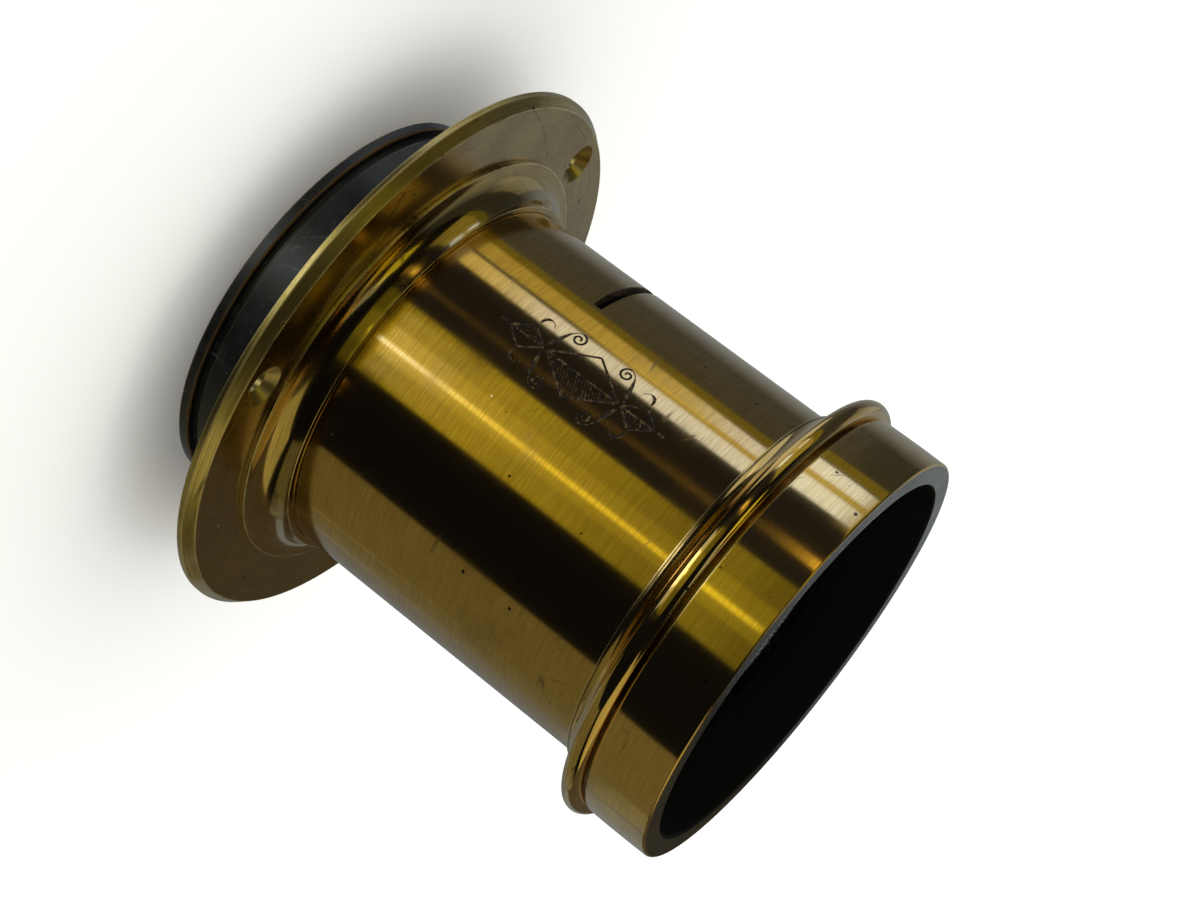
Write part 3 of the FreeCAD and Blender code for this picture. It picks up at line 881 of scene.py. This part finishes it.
def ornament_cutter():
    """A hatched lozenge between two smaller ones, with scrolls and leaves beside them."""
    strokes = lozenge((0.0, 0.0), 4.7, 7.0, 1)
    for hand in (1, -1):
        strokes += lozenge((0.0, hand * 10.8), 2.5, 3.2, hand)
        for side in (1, -1):
            stem = [(side * 0.7, hand * 7.6), (side * 2.9, hand * 6.5), (side * 5.9, hand * 6.7),
                    (side * 6.3, hand * 4.7)]
            strokes.append(stroke(curve_places(stem, 18), stroke_width * 1.9, taper=True))
            strokes.append(stroke(scroll_places((side * 5.0, hand * 4.7), 1.3, 1.35, 0.0 if side > 0 else pi,
                                                -side * hand), stroke_width * 1.1))
            leaf = [(side * 3.2, hand * 10.8), (side * 4.8, hand * 11.0), (side * 5.4, hand * 9.4),
                    (side * 4.0, hand * 8.7)]
            strokes.append(stroke(curve_places(leaf, 14), stroke_width * 1.6, taper=True))
        strokes.append(stroke(line_places((-0.01, hand * 14.6), (0.01, hand * 15.8), 3), stroke_width * 1.5))
    return closed_shape("ornament_cutter", *strokes)


def make_barrel():
    inner = tube_radius - tube_wall
    corners = [
        Corner(inner, tube_rear, finish=1),
        *alike(soft_edge, (tube_radius, tube_rear), (tube_radius, tube_front), (inner, tube_front)),
    ]
    piece, steps = turned("barrel_tube_engraved", corners, [barrel_brass, matt_black])
    cut(piece, steps, [slot_cutter(), ornament_cutter()], engraved)
    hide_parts("barrel_tube")
    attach(piece, "barrel")


# hood
def make_hood():
    rear_edge = tube_radius + hood_edge_step
    land_top = tube_front + hood_edge_land
    bead_low = land_top + hood_cove_height
    bead_high = bead_low + bead_height
    bead_root = hood_radius + bead_quirk
    groove_floor = hood_radius - groove_depth
    groove_low = bead_high + groove_slope
    groove_high = groove_low + groove_width
    corners = [
        Corner(spigot_bore, hood_rear, finish=2),
        *alike(soft_edge, (spigot_radius, hood_rear), (spigot_radius, tube_front)),
        *alike(round_edge, (rear_edge, tube_front), (rear_edge, land_top)),
        Corner(hood_radius, bead_low, fine_edge, bend=hood_cove_bend, turn=-1),
        Corner(bead_root, bead_low, fine_edge),
        Corner(bead_root + bead_lift, bead_high, fine_edge, bend=bead_bend, turn=1),
        *alike(fine_edge, (groove_floor, groove_low), (groove_floor, groove_high),
               (hood_radius - groove_chamfer, groove_high)),
        Corner(hood_radius, groove_high + groove_chamfer, soft=0.08 * MM),
        Corner(hood_radius, hood_front - hood_front_round, fine_edge, bend=hood_belly, turn=1),
        Corner(hood_radius - hood_front_round, hood_front, fine_edge, bend=hood_front_round, turn=1),
        Corner(hood_bore + hood_bore_chamfer, hood_front, fine_edge, finish=1),
        *alike(soft_edge, (hood_bore, hood_front - hood_bore_chamfer), (hood_bore, front_ledge),
               (front_cell_bore, front_ledge), (front_cell_bore, front_seat), (spigot_bore, front_seat), finish=2),
    ]
    piece, _ = turned("hood_turned", corners, [hood_brass, hood_black, matt_black],
                      thread=(hood_rear + mark_reach, tube_front - 0.8 * MM))
    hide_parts("hood")
    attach(piece, "hood")


# rear cell
def make_rear_cell():
    undercut = cell_radius - undercut_depth
    undercut_top = rim_height + undercut_width
    lip_rear = cell_front - cell_lip_height
    corners = [
        Corner(cell_bore + cell_chamfer, 0.0, finish=1),
        *alike(fine_edge, (rim_radius - rim_chamfer, 0.0), (rim_radius, rim_chamfer),
               (rim_radius, rim_height - rim_chamfer), (rim_radius - rim_chamfer, rim_height),
               (undercut, rim_height), (undercut, undercut_top)),
        Corner(cell_radius, undercut_top, broad_edge),
        *alike(soft_edge, (cell_radius, cell_front - cell_chamfer), (cell_radius - cell_chamfer, cell_front)),
        *alike(soft_edge, (cell_lip_bore, cell_front), (cell_lip_bore, lip_rear), (cell_bore, lip_rear),
               (cell_bore, cell_chamfer), finish=1),
    ]
    piece, _ = turned("rear_cell_turned", corners, [black_lacquer, matt_black],
                      thread=(collar_rear + mark_reach, cell_front - cell_chamfer - mark_reach))
    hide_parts("rear_cell")
    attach(piece, "rear_cell")


# glasses and rings
flat_rim = 0.3 * MM


def domed(radius, height, half_width, rise, soft=soft_edge):
    """The corner at the end of a spherical face, which rises by so much over its half width."""
    bend = (half_width ** 2 + abs(rise) ** 2) / (2 * abs(rise))
    return Corner(radius, height, soft, bend=bend, turn=1 if rise > 0 else -1)


def make_glass(name, node, body, low_rise, low_half, low, high, high_half, high_rise, rim):
    """A lens with a spherical face at each end; a rise towards -Z at the low face is positive."""
    corners = [Corner(0.0, low - low_rise), domed(low_half, low, low_half, low_rise, fine_edge)]
    if rim - low_half > flat_rim:
        corners.append(Corner(rim, low, fine_edge))
    corners.append(Corner(rim, high, fine_edge))
    if rim - high_half > flat_rim:
        corners.append(Corner(high_half, high, fine_edge))
    corners.append(domed(0.0, high + high_rise, high_half, high_rise))
    piece, _ = turned(name, corners, [optical_glass])
    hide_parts(node)
    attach(piece, body)


def make_glasses():
    front_rim = front_cell_bore - 0.1 * MM
    rear_rim = cell_bore - 0.1 * MM
    cement = front_seat + 3.8 * MM
    film = 0.02 * MM
    make_glass("front_crown_glass", "front_crown_lens", "front_glasses", 3.6 * MM - film, front_rim, cement,
               front_crown_base, spigot_bore, 4.3 * MM, front_rim)
    make_glass("front_flint_glass", "front_flint_lens", "front_glasses", 1.6 * MM, spigot_bore, front_seat,
               cement - film, front_rim, -3.6 * MM, front_rim)
    flint_top = cell_front - cell_lip_height
    flint_low = flint_top - 4.8 * MM
    crown_top = flint_low - 1.6 * MM
    crown_low = crown_top - 3 * MM
    make_glass("rear_flint_glass", "rear_flint_lens", "rear_glasses", -4.9 * MM, cell_lip_bore, flint_low,
               flint_top, cell_lip_bore, 2.2 * MM, rear_rim)
    make_glass("rear_crown_glass", "rear_crown_lens", "rear_glasses", 2 * MM, cell_lip_bore, crown_low,
               crown_top, cell_lip_bore, 4.5 * MM, rear_rim)


def notch_cutter(radius, degrees, low, high):
    """A square notch across a ring, for the key that turns it."""
    half = 1.5 * MM
    along = on_circle(1.0, degrees, 0.0)
    side = Vector((-along.y, along.x, 0.0))
    rings = []
    for reach in (radius - 4 * MM, radius + 1 * MM):
        rings.append([along * reach + side * s + Vector((0, 0, z))
                      for s, z in ((-half, low), (half, low), (half, high), (-half, high))])
    return closed_shape("notch_cutter", rings)


def make_ring(name, node, body, inner, outer, low, high, notch_low, notch_high):
    corners = alike(round_edge, (inner, low), (outer, low), (outer, high), (inner, high))
    piece, steps = turned(name, corners, [ring_black])
    cut(piece, steps, [notch_cutter(outer, a, notch_low, notch_high) for a in (0.0, 180.0)], ring_black)
    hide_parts(node)
    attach(piece, body)


def make_rings():
    notch = 0.9 * MM
    outer, low, high = reach_of("front_retaining_ring")
    make_ring("front_ring_notched", "front_retaining_ring", "front_glasses", spigot_bore, outer, low, high,
              high - notch, high + 1 * MM)
    outer, low, high = reach_of("rear_retaining_ring")
    make_ring("rear_ring_notched", "rear_retaining_ring", "rear_glasses", cell_lip_bore, outer, low, high,
              low - 1 * MM, low + notch)


def finish_inner_pieces():
    """The pieces that stay as they are get their finish."""
    for node in ("stop_guide_front", "stop_guide_rear", "rear_spacer_ring"):
        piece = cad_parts[node]
        piece.data.materials.clear()
        piece.data.materials.append(matt_black)


make_flange()
make_collar()
make_barrel()
make_hood()
make_rear_cell()
make_glasses()
make_rings()
finish_inner_pieces()


# camera
IMAGE_WIDTH = 1200
FOCAL_PIXELS = 2486.64
camera_place = Vector((-310.15, -224.27, 164.48)) * MM
camera_aim = Vector((-4.57, 6.0, 52.79)) * MM
camera_roll = radians(127.26)


def make_camera():
    data = bpy.data.cameras.new("camera")
    data.sensor_width = 36.0
    data.lens = FOCAL_PIXELS / IMAGE_WIDTH * data.sensor_width
    data.clip_start = 0.01
    data.clip_end = 50.0
    camera = placed("camera", data)
    camera.location = camera_place
    camera.rotation_mode = "QUATERNION"
    look = (camera_aim - camera_place).to_track_quat("-Z", "Y")
    camera.rotation_quaternion = look @ Quaternion((0, 0, 1), camera_roll)
    bpy.context.scene.camera = camera


# floor and light
object_middle = Vector((0, 0, 50 * MM))


def make_floor():
    half = 8.0
    mesh = bpy.data.meshes.new("floor")
    mesh.from_pydata([(-half, -half, 0), (half, -half, 0), (half, half, 0), (-half, half, 0)], [], [(0, 1, 2, 3)])
    floor = placed("floor", mesh)
    mesh.materials.append(new_material("floor_white", Roughness=0.9, Specular_IOR_Level=0,
                                       Base_Color=(0.97, 0.97, 0.97, 1))[0])
    floor.visible_glossy = False
    floor.visible_shadow = False


def softbox(name, left, right, low, high, brightness, colour, distance=1.4):
    """A rectangular light that faces the lens and fills a range of azimuths and of elevations, in degrees."""
    azimuth, elevation = radians((left + right) / 2), radians((low + high) / 2)
    data = bpy.data.lights.new(name, "AREA")
    data.shape = "RECTANGLE"
    data.size = 2 * distance * tan(radians(right - left) / 2) * cos(elevation)
    data.size_y = 2 * distance * tan(radians(high - low) / 2)
    data.energy = brightness * pi * data.size * data.size_y
    data.color = colour
    light = placed(name, data)
    away = Vector((cos(azimuth) * cos(elevation), sin(azimuth) * cos(elevation), sin(elevation))) * distance
    light.location = object_middle + away
    light.rotation_mode = "QUATERNION"
    light.rotation_quaternion = (-away).to_track_quat("-Z", "Y")
    light.visible_camera = False


DAYLIGHT = (0.85, 1.1, 2.1)
SILL = (1.0, 0.93, 0.3)
WARM = (1.0, 0.95, 0.1)
WHITE_HOT = (0.45, 1.0, 3.2)
ORANGE = (1.0, 0.75, 0.15)
AMBER = (1.0, 0.94, 0.48)
PLAIN = (0.95, 1.04, 1.03)
SHADED = (1.0, 1.14, 1.3)
BROWNED = (1.0, 0.8, 0.42)
DUSK = (1.0, 1.1, 1.8)
CREAM = (1.0, 1.0, 0.8)
FLOOR_PALE = (0.92, 1.0, 1.05)

# the room that the brass mirrors: a window, a warm panel with a lamp, walls, and dark gaps between
# name, azimuth from and to, elevation from and to, brightness, colour, distance in metres if not 1.4
room = (
    ("window_left", 128.6, 137.5, -13.2, -6.6, 0.98, DAYLIGHT, 1.2),
    ("window_right", 141.5, 151.9, -19.8, -6.6, 0.98, DAYLIGHT, 1.2),
    ("window_bar", 137.5, 141.5, -17, -6.6, 0.46, SILL, 1.2),
    ("sill_left", 127.5, 138.5, -24, -13.2, 0.42, SILL, 1.2),
    ("sill_left_high", 127.5, 138.5, -17.5, -13.2, 0.1, SILL, 1.18),
    ("sill_right", 141, 151.9, -24, -19.8, 0.62, SILL, 1.2),
    ("window_frame", 120.5, 127.5, -24, 30, 0.15, WARM, 1.25),
    ("above_window", 127.5, 156, -6.6, 30, 0.3, SILL, 1.25),
    ("room_dark", 154, 191, -30, 20, 0.009, DUSK, 1.6),
    ("lamp_glow_low", 174.5, 178.5, -24, -10, 0.042, ORANGE, 1.3),
    ("lamp_glow", 173.5, 179, -10, -6.6, 0.17, ORANGE, 1.3),
    ("lamp_glow_high", 174, 179, -6.6, 12, 1.15, ORANGE, 1.3),
    ("lamp_glow_top", 173.5, 179.5, 12, 30, 0.4, ORANGE, 1.3),
    ("warm_panel", 190, 236, -24, 30, 0.12, WARM, 1.35),
    ("warm_panel_front", 190, 235.5, -24, -9, 0.066, WARM, 1.33),
    ("warm_panel_middle", 190.5, 235, -24, -14, 0.075, WARM, 1.31),
    ("warm_panel_low", 190, 235, -24, -16, 0.075, WARM, 1.29),
    ("warm_panel_rear", 188.8, 235, -24, -18.5, 0.08, WARM, 1.27),
    ("warm_panel_heart", 204, 222, -24, 30, 0.09, WARM, 1.25),
    ("warm_lamp", 213.2, 216.2, -24, -6.3, 0.68, WARM, 1.2),
    ("warm_lamp_low", 213.6, 215.8, -24, -20.5, 0.9, WHITE_HOT, 1.19),
    ("side_wall", 287, 330, -38, 14, 0.137, AMBER),
    ("side_wall_foot", 287, 330, -60, -38, 0.137, AMBER),
    ("side_corner", 330, 336, -38, 14, 0.143, (1.0, 0.96, 0.56)),
    ("side_corner_foot", 330, 336, -60, -38, 0.143, (1.0, 0.96, 0.56)),
    ("side_corner_pale", 336, 342, -38, 14, 0.15, (1.0, 0.98, 0.68)),
    ("side_corner_pale_foot", 336, 342, -60, -38, 0.15, (1.0, 0.98, 0.68)),
    ("far_corner", 342, 348, -38, 14, 0.158, (0.98, 1.01, 0.84)),
    ("far_corner_foot", 342, 348, -60, -38, 0.158, (0.98, 1.01, 0.84)),
    ("ceiling_side", 286, 350, 29, 66, 0.42, AMBER, 1.5),
    ("far_wall", 348, 396, -34, 2, 0.165, PLAIN, 1.3),
    ("far_wall_high", 330, 396, -11.5, 2, 0.045, PLAIN, 1.3),
    ("far_wall_foot", 348, 396, -60, -34, 0.165, PLAIN, 1.3),
    ("far_wall_above", 338, 397, 2, 60, 0.075, BROWNED, 1.5),
    ("far_window", 34, 44, -2, 8.4, 0.7, PLAIN, 1.45),
    ("near_wall", 40, 58, -60, 60, 0.245, PLAIN),
    ("near_wall_fading", 58, 65, -60, 60, 0.215, PLAIN),
    ("near_wall_grey", 65, 72, -60, 60, 0.18, SHADED),
    ("near_wall_middle", 72, 78, -60, 60, 0.145, SHADED),
    ("near_wall_dim", 78, 83, -60, 60, 0.105, SHADED),
    ("near_wall_dimmer", 83, 88, -60, 60, 0.07, SHADED),
    ("near_wall_dark", 88, 121, -60, 60, 0.034, SHADED),
    ("near_wall_left", 37, 40, 13, 60, 0.245, PLAIN),
    ("near_wall_left_low", 37, 40, -60, 2, 0.245, PLAIN),
    ("near_wall_high", 62, 90, 6, 34, 0.12, CREAM),
    ("near_wall_dark_low", 88, 120.8, -34, -10, 0.027, SHADED),
    ("floor_window", 202, 224, -55, -24, 1.4, FLOOR_PALE, 1.2),
    ("floor_left", 190, 236, -55, -24, 0.5, FLOOR_PALE, 1.25),
    ("floor_right", 122, 150, -55, -24, 0.5, FLOOR_PALE, 1.25),
    ("floor_right_far", 92, 122, -55, -26, 0.5, FLOOR_PALE, 1.25),
    ("overhead", 150, 210, 62, 100, 0.35, PLAIN, 1.5),
    ("overhead_window", 138, 172, 54, 72, 0.7, WARM, 1.45),
)


def make_world():
    world = bpy.data.worlds.new("studio")
    bpy.context.scene.world = world
    world.use_nodes = True
    tree = world.node_tree
    tree.nodes.clear()
    path = add(tree, "ShaderNodeLightPath").outputs
    seen = larger(path["Is Camera Ray"], path["Is Transmission Ray"])
    ambient = blended(path["Is Glossy Ray"], (1.03, 1.03, 1.03), (0.005, 0.0058, 0.01))
    colour = blended(seen, ambient, (1.0, 1.0, 1.0))
    light = add(tree, "ShaderNodeBackground", {"Color": colour, "Strength": 1.0})
    add(tree, "ShaderNodeOutputWorld", {0: light.outputs[0]})
    world.cycles.sampling_method = "NONE"


make_camera()
make_floor()
for softbox_row in room:
    softbox(*softbox_row)
make_world()
bpy.context.scene.view_settings.view_transform = "Standard"

bpy.context.view_layer.update()
